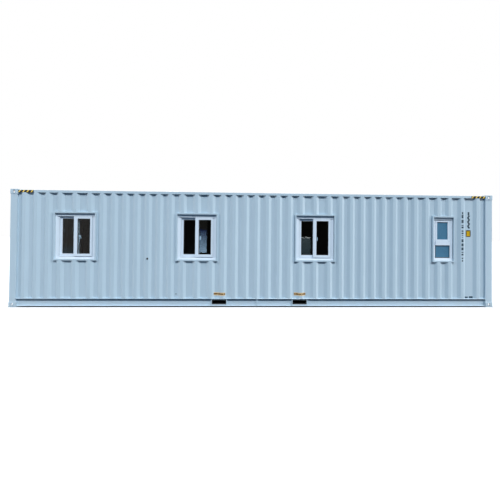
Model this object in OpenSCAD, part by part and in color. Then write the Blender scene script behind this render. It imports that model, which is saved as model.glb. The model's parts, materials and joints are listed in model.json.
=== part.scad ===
// Container cabin: a forty foot high cube shipping container fitted out as a cabin.
// X runs along the length, the side with the windows faces -Y, the cargo doors are at
// the -X end, and the origin is the middle of the footprint, at the foot of the castings.

/* [Overall] */
// Length over the corner castings
overall_l = 12192; // [12186:1:12198]
// Width over the corner castings
overall_w = 2438; // [2400:1:2500]
// Height over the corner castings
overall_h = 2896; // [2800:1:2900]
// Depth from the casting faces to the faces of the rails and posts
skin_inset = 6; // [3:1:8]

/* [Corner castings] */
// Length of a casting along the container
cast_l = 178; // [178:1:180]
// Width of a casting across the container
cast_w = 162; // [160:1:164]
// Height of a casting
cast_h = 118; // [116:1:120]
// Thickness of a casting's walls
cast_t = 28; // [20:1:30]
// Distance between the twist-lock holes along the length
lock_dx = 11985; // [11975:1:11990]
// Distance between the twist-lock holes across the width
lock_dy = 2259; // [2255:1:2262]
// Length of the twist-lock slot
slot_l = 124; // [120:1:126]
// Width of the twist-lock slot and of the end hole
slot_w = 63.5; // [60:0.5:65]
// Width of the hole in a casting's long side
side_hole_w = 51; // [48:1:54]
// Height of the holes in a casting's outer sides
side_hole_h = 79.5; // [76:0.5:80]

/* [Frame] */
// Side of the square tube that is the top side rail
top_rail = 57; // [50:1:70]
// Distance from the casting tops down to the top side rail
top_drop = 22; // [20:1:34]
// Wall of the square tubes
tube_t = 4; // [3:1:6]
// Height of the bottom side rail
bottom_rail_h = 182; // [150:1:190]
// Height of the bottom side rail over the ground
bottom_rail_z = 24; // [12:1:30]
// Reach of the bottom side rail's flanges
flange_d = 46; // [40:1:50]
// Thickness of the bottom side rail's plate
channel_t = 5; // [4:1:6]
// Length of the posts at the door end, seen from the side
door_post_l = 154; // [150:1:160]
// Length of the posts at the closed end, seen from the side
end_post_l = 172; // [165:1:178]
// Thickness of the posts' plate
post_t = 6; // [4:1:8]

/* [Corrugation] */
// Thickness of the wall and roof sheets
sheet_t = 2; // [1.6:0.1:3]
// Depth of the side walls' corrugation
corr_d = 36; // [30:1:40]
// Width of a ridge
ridge_w = 72; // [60:1:80]
// Width of a slope
slope_w = 68; // [60:1:70]
// Width of a common trough
narrow_w = 72; // [68:1:76]
// Width of the troughs that take a window surround's jambs
flank_w = 92; // [88:1:96]
// Width of the two troughs behind a sliding window
wide_w = 152; // [148:1:156]
// Width of the trough beside the door end's post
first_w = 63; // [60:1:72]
// Width of the common troughs between the third window and the narrow one
late_w = 71; // [68:1:74]
// Width of the trough before the narrow window
jamb_w = 108; // [100:1:116]
// Width of the trough above and below the narrow window
middle_w = 82; // [72:1:92]
// Width of the trough after the narrow window
far_jamb_w = 122; // [112:1:128]
// Width of the broad flat field after it
field_w = 206; // [190:1:214]
// Depth of the end wall's corrugation
end_corr_d = 46; // [36:1:46]
// Pitch of the end wall's corrugation
end_pitch = 250; // [230:1:270]
// Depth of the roof's corrugation
roof_d = 20; // [14:1:20]
// Pitch of the roof's corrugation
roof_pitch = 209; // [190:1:230]
// Width of the flat margins along the roof's sides
roof_margin = 150; // [100:1:200]

/* [Lining and floor] */
// Thickness of the insulated wall lining
lining_t = 90; // [60:1:100]
// Thickness of the ceiling lining
ceiling_t = 40; // [30:1:60]
// Thickness of the floor boards
floor_t = 28; // [24:1:30]
// Height of the floor's cross members
cross_h = 122; // [120:1:122]
// Width of a cross member
cross_w = 45; // [40:1:50]
// Widest pitch of the cross members
cross_pitch = 310; // [290:1:340]

/* [Fork pockets] */
// Distance between the two fork pockets
pocket_dx = 2040; // [2030:1:2060]
// Middle of the pair of fork pockets, from the middle of the container
pocket_mid = 50; // [0:1:60]
// Width of a fork pocket
pocket_w = 354; // [350:1:370]
// Height of a fork pocket
pocket_h = 104; // [100:1:116]
// Width of the cheeks beside a fork pocket
cheek_w = 20; // [14:1:30]
// Depth from the rail's face to the cheeks and the mouth of a pocket
cheek_back = 12; // [8:1:16]
// Plate thickness of a fork pocket
pocket_t = 4; // [3:1:4]

/* [Sliding windows] */
// Distance between the sliding windows
window_pitch = 3000; // [2990:1:3010]
// Middle of the first sliding window
window_x = -4540; // [-4550:1:-4530]
// Outer width of a steel surround
surround_w = 1045; // [1030:1:1050]
// Outer height of a steel surround
surround_h = 1206; // [1190:1:1220]
// Height of a steel surround's foot over the ground
surround_z = 1146; // [1100:1:1180]
// Width of a surround's face
surround_t = 35; // [30:1:40]
// Depth from a surround's face to the window frame
frame_back = 36; // [20:1:40]
// Depth of a sliding window's frame
frame_d = 88; // [88:1:90]
// How far a window frame's face slopes back towards the sashes
frame_slope = 18; // [0:1:20]
// Width of the frame's jambs
frame_jamb = 88; // [60:1:95]
// Height of the frame's head
frame_head = 74; // [60:1:90]
// Height of the frame's sill
frame_sill = 62; // [50:1:80]
// Width of a sash's stile beside the jamb
sash_stile = 48; // [40:1:70]
// Width of the stiles that meet in the middle
sash_meet = 84; // [60:1:100]
// How far a sash reaches past the middle
sash_overlap = 47; // [20:1:60]
// Height of a sash's top rail
sash_top = 56; // [50:1:80]
// Height of a sash's bottom rail
sash_foot = 63; // [50:1:90]
// Thickness of a sash
sash_t = 32; // [30:1:38]
// Play around a sash
sash_gap = 3; // [2:1:5]
// Thickness of a pane
pane_t = 6; // [4:1:10]

/* [Narrow window] */
// Middle of the narrow window
narrow_x = 4812; // [4800:1:4812]
// Outer width of the narrow surround
narrow_surround_w = 592; // [580:1:600]
// Outer height of the narrow surround
narrow_surround_h = 1192; // [1180:1:1200]
// Height of the narrow surround's foot over the ground
narrow_z = 1154; // [1140:1:1170]
// Depth of the narrow window's frame
narrow_frame_d = 74; // [70:1:90]
// Width of the narrow window's frame
narrow_frame_w = 66; // [50:1:72]
// Height of the narrow frame's sill
narrow_sill = 70; // [60:1:90]
// Height of its cross rail's foot over the ground
narrow_rail_z = 1588; // [1500:1:1650]
// Height of its cross rail
narrow_rail_h = 97; // [60:1:110]
// Width of its opening sash's stiles and rails
narrow_sash_w = 50; // [40:1:60]

/* [Cargo doors] */
// Depth from the casting faces to the outer faces of the doors
door_back = 80; // [76:1:90]
// Thickness of a door leaf
door_t = 50; // [45:1:60]
// Width of a door leaf's frame
door_frame = 100; // [80:1:120]
// Number of corrugations in a door leaf
door_waves = 3; // [2:1:4]
// Radius of a locking bar
bar_r = 17; // [14:1:19]
// Hinges on a door leaf
hinges = 4; // [3:1:5]

/* [Hidden] */
$fn = 48;

hull_paint = "lightsteelblue";
lining_paint = "antiquewhite";

half_l = overall_l / 2;
half_w = overall_w / 2;
face_y = half_w - skin_inset;                 // plane of the rails, posts and ridges
face_x = half_l - skin_inset;
lining_y = face_y - corr_d - sheet_t;         // back of the lining, against the troughs
room_y = lining_y - lining_t;                 // inner face of the side linings
web_y = face_y - flange_d;                    // inner face of the bottom side rail's web
wall_x0 = -face_x + door_post_l;              // side walls run from here
wall_x1 = face_x - end_post_l;                // to here
rail_x = half_l - cast_l;                     // inner faces of the castings
rail_top_z = overall_h - top_drop;
rail_low_z = rail_top_z - top_rail;
wall_z = bottom_rail_z + bottom_rail_h;       // foot of the wall sheets
pocket_z = 68;                                // floor of the fork pockets
floor_z = pocket_z + pocket_h + pocket_t;     // underside of the floor boards
room_z0 = floor_z + floor_t;
room_z1 = rail_low_z - ceiling_t;
door_x = -half_l + door_back;                 // outer faces of the doors
sill_d = 80;                                  // depth of the door sill and header
door_sill_top = wall_z - 31;
door_gap = 4;
header_gap = 2;
door_top = room_z1 - header_gap;
header_lap = 4;                               // the sill and header stand this proud of the doors
end_header_d = 60;
room_end_x = face_x - skin_inset - end_corr_d - sheet_t - lining_t;
bar_places = [-860, -300, 300, 860];          // middles of the locking bars across the width

// Sliding windows: outer face of the frame, foot and top of the sashes, jamb edge from the middle
window_count = 3;
frame_y = -face_y + frame_back;
sash_z0 = surround_z + surround_t + frame_sill + sash_gap;
sash_z1 = surround_z + surround_h - surround_t - frame_head - sash_gap;
sash_out = surround_w / 2 - surround_t - frame_jamb - sash_gap;

// Narrow window: half its clear width, then the heights of the fixed pane, cross rail and sash
narrow_in = narrow_surround_w / 2 - surround_t - narrow_frame_w;
narrow_low = narrow_z + surround_t + narrow_sill;
narrow_mid = narrow_rail_z + narrow_rail_h;
narrow_top = narrow_z + narrow_surround_h - surround_t - narrow_frame_w;
narrow_sash_y = frame_y + 12;
narrow_sash_t = 40;

// Trough widths of the front wall, from the door end to the closed end
front_troughs = concat(
    [first_w, narrow_w, narrow_w, flank_w],
    [for (bay = [1 : window_count - 1], w = [wide_w, wide_w, flank_w, narrow_w, narrow_w, narrow_w,
        narrow_w, narrow_w, narrow_w, flank_w]) w],
    [wide_w, wide_w, flank_w], [for (i = [1 : 7]) late_w],
    [flank_w, jamb_w, middle_w, far_jamb_w, field_w, narrow_w]);
back_count = floor((wall_x1 - wall_x0 - narrow_w) / (narrow_w + ridge_w + 2 * slope_w)) + 1;
back_troughs = [for (i = [1 : back_count]) narrow_w];

// Middle of trough i, when the first one starts at start and ridges are ridge wide
function trough_x(widths, i, start, ridge) =
    i == 0 ? start + widths[0] / 2
    : trough_x(widths, i - 1, start, ridge) + (widths[i - 1] + widths[i]) / 2 + 2 * slope_w + ridge;

// Points along a corrugated line: y is 0 on the ridges and depth in the troughs
function wave(widths, start, end, ridge, depth) = [
    for (i = [0 : len(widths) - 1])
        let (x = trough_x(widths, i, start, ridge), h = widths[i] / 2)
            each concat(
                i == 0 ? [[start, depth]] : [[x - h - slope_w, 0], [x - h, depth]],
                i == len(widths) - 1 ? [[end, depth]] : [[x + h, depth], [x + h + slope_w, 0]])];

// The outline of a sheet that follows a line, thick towards +Y
function sheet_outline(line, thick) = concat(line, [for (i = [len(line) - 1 : -1 : 0]) line[i] + [0, thick]]);

function window_mid(i) = window_x + (i - 1) * window_pitch;

// Outer face of the front or the rear sash
function sash_y(front) = frame_y + 1 + (front ? 0 : sash_t + 3);

// Middle of the fork pocket on the door end's side, s = -1, or the other one, s = 1
function pocket_x(s) = pocket_mid + s * pocket_dx / 2;

// Copies its children to both long sides
module both_sides() {
    children();
    mirror([0, 1, 0]) children();
}

// A box from two corners
module block(low, high) {
    translate(low) cube(high - low);
}

// A frame from corner to corner, with the face widths [left, foot, right, top]
module ring(low, high, face) {
    difference() {
        block(low, high);
        block([low[0] + face[0], low[1] - 1, low[2] + face[1]],
            [high[0] - face[2], high[1] + 1, high[2] - face[3]]);
    }
}

// A straight tube of rectangular section, running along X
module tube_x(low, high, t) {
    difference() {
        block(low, high);
        block([low[0] - 1, low[1] + t, low[2] + t], [high[0] + 1, high[1] - t, high[2] - t]);
    }
}

// A straight tube of rectangular section, running along Y
module tube_y(low, high, t) {
    difference() {
        block(low, high);
        block([low[0] + t, low[1] - 1, low[2] + t], [high[0] - t, high[1] + 1, high[2] - t]);
    }
}

// A straight tube of rectangular section, running along Z
module tube_z(low, high, t) {
    difference() {
        block(low, high);
        block([low[0] + t, low[1] + t, low[2] - 1], [high[0] - t, high[1] - t, high[2] + 1]);
    }
}

// The space that the castings take, cut out of what runs between them
module casting_space() {
    for (sx = [-1, 1], sy = [-1, 1], z = [0, overall_h - cast_h])
        translate([sx * (half_l - cast_l / 2), sy * (half_w - cast_w / 2), z + cast_h / 2])
            cube([cast_l, cast_w, cast_h], center = true);
}

// The space that the closed end's posts take
module post_space() {
    for (sy = [-1, 1])
        translate([face_x - end_post_l / 2, sy * (face_y + room_y) / 2, overall_h / 2])
            cube([end_post_l, face_y - room_y, overall_h], center = true);
}

// A round-ended slot along X, standing on z = 0
module slot(length, width, height) {
    for (s = [-1, 1]) translate([s * (length - width) / 2, 0, 0]) cylinder(h = height, d = width);
    translate([-(length - width) / 2, -width / 2, 0]) cube([length - width, width, height]);
}

// One hollow casting with its outer corner at the origin, reaching to +X, +Y and +Z
module casting() {
    lock_x = (overall_l - lock_dx) / 2;
    lock_y = (overall_w - lock_dy) / 2;
    side_x = 89;      // middle of the side hole, from the end
    end_y = 78;       // middle of the end hole, from the side
    end_t = 22;
    outer_t = 18;
    inner_t = 22;
    difference() {
        cube([cast_l, cast_w, cast_h]);
        translate([end_t, outer_t, cast_t])
            cube([cast_l - 2 * end_t, cast_w - outer_t - inner_t, cast_h - 2 * cast_t]);
        translate([lock_x, lock_y, -1]) slot(slot_l, slot_w, cast_h + 2);
        translate([side_x, -1, cast_h / 2]) rotate([-90, 90, 0])
            slot(side_hole_h, side_hole_w, cast_t);
        translate([-1, end_y, cast_h / 2]) rotate([0, 90, 0])
            slot(side_hole_h, slot_w, cast_t);
    }
}

module corner_castings() {
    color(hull_paint)
        for (mx = [0, 1], my = [0, 1], z = [0, overall_h - cast_h])
            mirror([mx, 0, 0]) mirror([0, my, 0]) translate([-half_l, -half_w, z]) casting();
}

module door_end_posts() {
    color(hull_paint) both_sides()
        tube_z([-face_x, -face_y, cast_h], [wall_x0, -web_y, overall_h - cast_h], post_t);
}

module closed_end_posts() {
    color(hull_paint) both_sides()
        tube_z([wall_x1, -face_y, cast_h], [face_x, -room_y, overall_h - cast_h], post_t);
}

module top_rail() {
    color(hull_paint)
        tube_x([-rail_x, -face_y, rail_low_z], [rail_x, -face_y + top_rail, rail_top_z], tube_t);
}

// Channel with its flanges outwards, boxed in beside the fork pockets
module bottom_rail() {
    z0 = bottom_rail_z;
    cheek_out = pocket_w / 2 + pocket_t + cheek_w;
    mouth = pocket_w / 2 + pocket_t;
    splice_w = 40;        // cover strip over the butt joint near the middle
    splice_x = -30;
    splice_back = 12;
    gusset_l = 190;       // wedges that run down to the castings
    gusset_drop = 11;
    color(hull_paint) difference() {
        union() {
            difference() {
                block([wall_x0, -face_y, z0], [wall_x1, -web_y, wall_z]);
                block([wall_x0 - 1, -face_y - 1, z0 + channel_t],
                    [wall_x1 + 1, -web_y - channel_t, wall_z - channel_t]);
            }
            for (s = [-1, 1]) block(
                [pocket_x(s) - cheek_out, -face_y + cheek_back, z0],
                [pocket_x(s) + cheek_out, -web_y, wall_z]);
            block([splice_x, -face_y + splice_back, z0], [splice_x + splice_w, -web_y, wall_z]);
            for (s = [0, 1]) mirror([s, 0, 0])
                translate([-rail_x, -web_y, z0]) rotate([90, 0, 0])
                    linear_extrude(flange_d) polygon([[0, -gusset_drop], [gusset_l, 0], [0, 0]]);
        }
        for (s = [-1, 1]) block(
            [pocket_x(s) - mouth, -face_y - 1, pocket_z - pocket_t],
            [pocket_x(s) + mouth, -web_y + 1, floor_z]);
        casting_space();
    }
}

module end_header() {
    color(hull_paint) tube_y(
        [face_x - end_header_d, -half_w + cast_w, rail_low_z],
        [face_x, half_w - cast_w, rail_top_z], tube_t);
}

module end_sill() {
    color(hull_paint) difference() {
        tube_y([face_x - end_header_d, -room_y, bottom_rail_z], [face_x, room_y, wall_z], tube_t);
        casting_space();
    }
}

// Keepers that take the ends of the locking bars, on the sill and the header
module keepers(z) {
    reach = 30;
    wide = 80;
    high = 36;
    jaw_t = 18;
    back_t = 8;
    for (y = bar_places) difference() {
        block([door_x - reach, y - wide / 2, z], [door_x - header_lap, y + wide / 2, z + high]);
        block([door_x - reach - 1, y - wide / 2 + jaw_t, z - 1],
            [door_x - header_lap - back_t, y + wide / 2 - jaw_t, z + high + 1]);
    }
}

module door_header() {
    lintel_rise = 10;     // over the top of the side rails
    keeper_rise = 8;
    color(hull_paint) {
        tube_y([door_x - header_lap, -half_w + cast_w, room_z1 + header_gap],
            [door_x + sill_d, half_w - cast_w, rail_top_z + lintel_rise], tube_t);
        keepers(rail_low_z + keeper_rise);
    }
}

module door_sill() {
    keeper_rise = 40;
    color(hull_paint) {
        difference() {
            tube_y([door_x - header_lap, -web_y, bottom_rail_z],
                [door_x + sill_d, web_y, door_sill_top], tube_t);
            casting_space();
        }
        keepers(bottom_rail_z + keeper_rise);
    }
}

// Floor cross members: channels from rail to rail, left out where the fork pockets run
module cross_members() {
    end_gap = 90;
    first = wall_x0 + end_gap;
    last = wall_x1 - end_gap;
    count = ceil((last - first) / cross_pitch);
    clear = pocket_w / 2 + pocket_t + cross_w;
    z0 = floor_z - cross_h;
    color("lightslategray") for (i = [0 : count]) {
        x = first + (last - first) * i / count;
        if (min(abs(x - pocket_x(-1)), abs(x - pocket_x(1))) > clear) difference() {
            block([x - cross_w / 2, -web_y, z0], [x + cross_w / 2, web_y, floor_z]);
            block([x - cross_w / 2 + channel_t, -web_y - 1, z0 + channel_t],
                [x + cross_w, web_y + 1, floor_z - channel_t]);
        }
    }
}

module fork_pockets() {
    mouth_y = face_y - cheek_back;
    color("dimgray") for (s = [-1, 1]) tube_y(
        [pocket_x(s) - pocket_w / 2 - pocket_t, -mouth_y, pocket_z - pocket_t],
        [pocket_x(s) + pocket_w / 2 + pocket_t, mouth_y, floor_z], pocket_t);
}

module floor_boards() {
    color("tan") difference() {
        block([door_x + sill_d, -web_y, floor_z], [face_x - end_header_d, web_y, room_z0]);
        post_space();
    }
}

// A side wall's sheet before any opening is cut
module side_sheet(widths, ridge) {
    translate([0, -face_y, wall_z]) linear_extrude(rail_low_z - wall_z)
        polygon(sheet_outline(wave(widths, wall_x0, wall_x1, ridge, corr_d), sheet_t));
}

// The spaces that the four surrounds take
module window_space() {
    for (i = [1 : window_count]) block(
        [window_mid(i) - surround_w / 2, -half_w - 1, surround_z],
        [window_mid(i) + surround_w / 2, 0, surround_z + surround_h]);
    block([narrow_x - narrow_surround_w / 2, -half_w - 1, narrow_z],
        [narrow_x + narrow_surround_w / 2, 0, narrow_z + narrow_surround_h]);
}

module front_wall() {
    color(hull_paint) difference() {
        side_sheet(front_troughs, ridge_w);
        window_space();
        casting_space();
    }
}

module back_wall() {
    ridge = (wall_x1 - wall_x0 - back_count * narrow_w) / (back_count - 1) - 2 * slope_w;
    color(hull_paint) difference() {
        mirror([0, 1, 0]) side_sheet(back_troughs, ridge);
        casting_space();
    }
}

// Closed end: deeper corrugation between the posts, ridges outwards
module end_wall() {
    count = round(2 * room_y / end_pitch);
    pitch = 2 * room_y / count;
    flat = pitch / 2 - slope_w;
    line = [for (i = [0 : count - 1])
        let (y = -room_y + pitch * i)
            each [[y, end_corr_d], [y + flat / 2, end_corr_d], [y + flat / 2 + slope_w, 0],
                [y + pitch - flat / 2 - slope_w, 0], [y + pitch - flat / 2, end_corr_d]]];
    color(hull_paint) difference() {
        translate([face_x - skin_inset, 0, wall_z]) rotate([0, 0, 90])
            linear_extrude(rail_low_z - wall_z)
                polygon(sheet_outline(concat(line, [[room_y, end_corr_d]]), sheet_t));
        casting_space();
    }
}

// Roof: ridges across the width, closed at both sides, inside flat plates and margins
module roof_sheet() {
    plate_l = 330;
    x0 = door_x + sill_d;
    x1 = face_x;
    span = x1 - x0 - 2 * plate_l;
    count = floor(span / roof_pitch);
    lead = (span - count * roof_pitch) / 2;
    slope = 14;
    ridge = 91;
    trough = roof_pitch - ridge - 2 * slope;
    roof_y = face_y - skin_inset;
    ridge_y = roof_y - roof_margin;
    line = concat([[x0, 0]], [for (i = [0 : count - 1])
        let (x = x0 + plate_l + lead + i * roof_pitch + trough / 2)
            each [[x, 0], [x + slope, roof_d - sheet_t], [x + slope + ridge, roof_d - sheet_t],
                [x + 2 * slope + ridge, 0]]], [[x1, 0]]);
    color(hull_paint) difference() {
        union() {
            translate([0, ridge_y, rail_top_z]) rotate([90, 0, 0])
                linear_extrude(2 * ridge_y) polygon(sheet_outline(line, sheet_t));
            both_sides() block([x0, -roof_y, rail_top_z], [x1, -ridge_y + sheet_t, rail_top_z + sheet_t]);
            for (y = [ridge_y, -ridge_y + sheet_t]) translate([0, y, rail_top_z]) rotate([90, 0, 0])
                linear_extrude(sheet_t) polygon(concat([[x0, sheet_t], [x0, 0], [x1, 0], [x1, sheet_t]],
                    [for (i = [len(line) - 2 : -1 : 1]) line[i] + [0, sheet_t]]));
        }
        casting_space();
    }
}

module front_lining() {
    color(lining_paint) difference() {
        block([wall_x0, -lining_y, room_z0], [wall_x1, -room_y, room_z1]);
        window_space();
    }
}

module back_lining() {
    color(lining_paint) block([wall_x0, room_y, room_z0], [wall_x1, lining_y, room_z1]);
}

module end_lining() {
    color(lining_paint)
        block([room_end_x, -room_y, room_z0], [room_end_x + lining_t, room_y, room_z1]);
}

module ceiling_lining() {
    color(lining_paint) difference() {
        block([door_x + sill_d, -lining_y, room_z1], [room_end_x + lining_t, lining_y, rail_low_z]);
        casting_space();
    }
}

// A ring whose face slopes back towards its opening at the sides and the foot
module sloped_ring(low, high, face) {
    rim = 6;      // flat edge outside the slope
    difference() {
        ring(low, high, face);
        hull() {
            block([low[0] + rim, low[1] - 2, low[2] + rim],
                [high[0] - rim, low[1], high[2] - face[3]]);
            block([low[0] + face[0], low[1], low[2] + face[1]],
                [high[0] - face[2], low[1] + frame_slope, high[2] - face[3]]);
        }
    }
}

// A steel surround, flush with the ridges and through to the room
module surround(x, z, w, h) {
    color(hull_paint) ring([x - w / 2, -face_y, z], [x + w / 2, -room_y, z + h],
        [surround_t, surround_t, surround_t, surround_t]);
}

// Window frame inside a surround, with a rib for each sash to run on, at its foot and its head
module sliding_frame(i) {
    half = surround_w / 2 - surround_t;
    x0 = window_mid(i) - half;
    x1 = window_mid(i) + half;
    rib_t = 6;
    color("white") {
        sloped_ring([x0, frame_y, surround_z + surround_t],
            [x1, frame_y + frame_d, surround_z + surround_h - surround_t],
            [frame_jamb, frame_sill, frame_jamb, frame_head]);
        for (front = [true, false], z = [sash_z0 - sash_gap, sash_z1])
            block([x0 + frame_jamb, sash_y(front) + (sash_t - rib_t) / 2, z],
                [x1 - frame_jamb, sash_y(front) + (sash_t + rib_t) / 2, z + sash_gap]);
    }
}

// A sash: the front one stands on the right, the rear one on the left
module sash(i, front) {
    color("whitesmoke") translate([window_mid(i), sash_y(front), 0]) mirror([front ? 0 : 1, 0, 0])
        ring([-sash_overlap, 0, sash_z0], [sash_out, sash_t, sash_z1],
            [sash_meet, sash_foot, sash_stile, sash_top]);
}

module sliding_glass(i) {
    color("slategray", 0.5) for (front = [true, false])
        translate([window_mid(i), sash_y(front) + (sash_t - pane_t) / 2, 0])
            mirror([front ? 0 : 1, 0, 0])
                block([sash_meet - sash_overlap, 0, sash_z0 + sash_foot],
                    [sash_out - sash_stile, pane_t, sash_z1 - sash_top]);
}

module narrow_frame() {
    w = narrow_in + narrow_frame_w;
    lip = 12;     // the opening sash shuts against this
    color("white") {
        sloped_ring([narrow_x - w, frame_y, narrow_z + surround_t],
            [narrow_x + w, frame_y + narrow_frame_d, narrow_top + narrow_frame_w],
            [narrow_frame_w, narrow_sill, narrow_frame_w, narrow_frame_w]);
        block([narrow_x - narrow_in, frame_y, narrow_rail_z],
            [narrow_x + narrow_in, frame_y + narrow_frame_d, narrow_mid]);
        ring([narrow_x - narrow_in, narrow_sash_y + narrow_sash_t, narrow_mid],
            [narrow_x + narrow_in, frame_y + narrow_frame_d, narrow_top], [lip, lip, lip, lip]);
    }
}

// The opening sash over the cross rail
module narrow_sash() {
    face = narrow_sash_w;
    color("whitesmoke") ring(
        [narrow_x - narrow_in + sash_gap, narrow_sash_y, narrow_mid + sash_gap],
        [narrow_x + narrow_in - sash_gap, narrow_sash_y + narrow_sash_t, narrow_top - sash_gap],
        [face, face, face, face]);
}

module narrow_glass() {
    edge = sash_gap + narrow_sash_w;
    sash_pane_y = narrow_sash_y + (narrow_sash_t - pane_t) / 2;
    fixed_pane_y = frame_y + 24;
    color("cadetblue", 0.6) {
        block([narrow_x - narrow_in + edge, sash_pane_y, narrow_mid + edge],
            [narrow_x + narrow_in - edge, sash_pane_y + pane_t, narrow_top - edge]);
        block([narrow_x - narrow_in, fixed_pane_y, narrow_low],
            [narrow_x + narrow_in, fixed_pane_y + pane_t, narrow_rail_z]);
    }
}

// A door leaf on the -Y side: a tube frame with a corrugated panel
module cargo_door() {
    y0 = -web_y + door_gap;
    y1 = -door_gap / 2;
    z0 = door_sill_top + door_gap;
    panel_w = y1 - y0 - 2 * door_frame;
    pitch = panel_w / door_waves;
    flat = 60;
    slope = 40;
    depth = door_t - sheet_t;
    line = concat([[y0 + door_frame, 0]], [for (i = [0 : door_waves - 1])
        let (y = y0 + door_frame + pitch * i)
            each [[y + flat / 2, 0], [y + flat / 2 + slope, depth],
                [y + pitch - flat / 2 - slope, depth], [y + pitch - flat / 2, 0]]],
        [[y1 - door_frame, 0]]);
    difference() {
        block([door_x, y0, z0], [door_x + door_t, y1, door_top]);
        block([door_x - 1, y0 + door_frame, z0 + door_frame],
            [door_x + door_t + 1, y1 - door_frame, door_top - door_frame]);
    }
    translate([door_x, 0, z0 + door_frame]) mirror([1, 0, 0]) rotate([0, 0, 90])
        linear_extrude(door_top - z0 - 2 * door_frame)
            polygon(sheet_outline(line, sheet_t));
}

module right_cargo_door() {
    color(hull_paint) cargo_door();
}

module left_cargo_door() {
    color(hull_paint) mirror([0, 1, 0]) cargo_door();
}

// Blades on the doors and pinned lugs on the posts
module door_hinges() {
    blade_l = 150;
    blade_h = 70;
    blade_t = 8;
    lug_h = 50;
    pin_r = 13;
    pin_y = web_y - 22;
    pin_x = door_x - blade_t - 9;
    end_gap = 200;
    z0 = door_sill_top + end_gap;
    step = (door_top - end_gap - z0) / (hinges - 1);
    color(hull_paint) both_sides() for (i = [0 : hinges - 1]) translate([0, 0, z0 + step * i]) {
        block([door_x - blade_t, -pin_y, -blade_h / 2], [door_x, -pin_y + blade_l, blade_h / 2]);
        translate([pin_x, -pin_y, -blade_h / 2]) cylinder(h = blade_h, r = pin_r);
        block([door_x - blade_t - pin_r, -web_y, -lug_h / 2], [door_x - blade_t, -pin_y, lug_h / 2]);
    }
}

// Rods with cams at both ends, guide brackets and a handle each
module locking_bars() {
    bar_x = door_x - 34;
    z0 = bottom_rail_z + 30;
    z1 = rail_low_z + 50;
    bracket_w = 68;
    bracket_h = 60;
    bracket_zs = [420, 1000, 1700, 2480];
    handle_l = 340;
    handle_h = 32;
    handle_t = 10;
    handle_zs = [1150, 1290];     // of the inner bars and of the outer ones
    cam_w = 40;
    cam_h = 22;
    cam_gap = 14;
    rim = 5;                      // how far brackets and handles stand off the rods
    color("lightsteelblue") for (y = bar_places) {
        inner = abs(y) < half_w / 2;
        tip = y + (inner ? 1 : -1) * sign(y) * handle_l;    // the handles of a leaf point at each other
        handle_z = inner ? handle_zs[0] : handle_zs[1];
        translate([bar_x, y, z0]) cylinder(h = z1 - z0, r = bar_r);
        for (z = bracket_zs)
            block([bar_x - bar_r - rim, y - bracket_w / 2, z], [door_x, y + bracket_w / 2, z + bracket_h]);
        for (z = [z0 + cam_gap, z1 - cam_gap - cam_h])
            block([bar_x - bar_r, y - cam_w / 2, z], [bar_x + bar_r, y + cam_w / 2, z + cam_h]);
        block([bar_x - bar_r - rim, min(y, tip), handle_z],
            [bar_x - bar_r - rim + handle_t, max(y, tip), handle_z + handle_h]);
    }
}

corner_castings();
door_end_posts();
closed_end_posts();
top_rail();  // top_rail_front
mirror([0, 1, 0]) top_rail();  // top_rail_back
bottom_rail();  // bottom_rail_front
mirror([0, 1, 0]) bottom_rail();  // bottom_rail_back
end_header();
end_sill();
door_header();
door_sill();
cross_members();
fork_pockets();
floor_boards();
front_wall();
back_wall();
end_wall();
roof_sheet();
front_lining();
back_lining();
end_lining();
ceiling_lining();
for (i = [1 : window_count]) {
    surround(window_mid(i), surround_z, surround_w, surround_h);
    sliding_frame(i);
    sash(i, true);
    sash(i, false);
    sliding_glass(i);
}
surround(narrow_x, narrow_z, narrow_surround_w, narrow_surround_h);  // narrow_surround
narrow_frame();
narrow_sash();
narrow_glass();
left_cargo_door();
right_cargo_door();
door_hinges();
locking_bars();
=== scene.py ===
import bpy
import json
import math
from mathutils import Matrix, Vector


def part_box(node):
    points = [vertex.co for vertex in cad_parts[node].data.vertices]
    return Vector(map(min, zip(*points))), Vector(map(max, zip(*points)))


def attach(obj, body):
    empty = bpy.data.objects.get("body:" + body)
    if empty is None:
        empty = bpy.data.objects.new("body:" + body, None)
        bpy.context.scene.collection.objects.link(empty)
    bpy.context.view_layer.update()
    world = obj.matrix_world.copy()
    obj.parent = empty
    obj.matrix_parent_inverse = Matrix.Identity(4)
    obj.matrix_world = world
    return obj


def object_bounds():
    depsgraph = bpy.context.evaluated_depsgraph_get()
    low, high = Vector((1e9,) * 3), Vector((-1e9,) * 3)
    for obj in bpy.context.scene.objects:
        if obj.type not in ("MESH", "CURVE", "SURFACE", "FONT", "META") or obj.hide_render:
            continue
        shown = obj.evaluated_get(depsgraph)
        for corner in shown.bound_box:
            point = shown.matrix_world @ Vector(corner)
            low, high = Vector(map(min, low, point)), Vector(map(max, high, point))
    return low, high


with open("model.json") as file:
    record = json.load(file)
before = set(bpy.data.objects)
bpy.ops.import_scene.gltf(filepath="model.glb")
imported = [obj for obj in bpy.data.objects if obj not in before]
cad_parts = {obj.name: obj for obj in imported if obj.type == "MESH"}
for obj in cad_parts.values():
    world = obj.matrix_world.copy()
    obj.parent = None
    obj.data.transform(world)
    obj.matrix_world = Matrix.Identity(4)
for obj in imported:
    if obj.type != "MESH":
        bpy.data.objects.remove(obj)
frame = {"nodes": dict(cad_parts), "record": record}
nodes = frame["nodes"]
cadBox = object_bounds()
print("frame loaded:", len(nodes), "nodes")


# Helpers for working on one piece at a time

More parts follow.
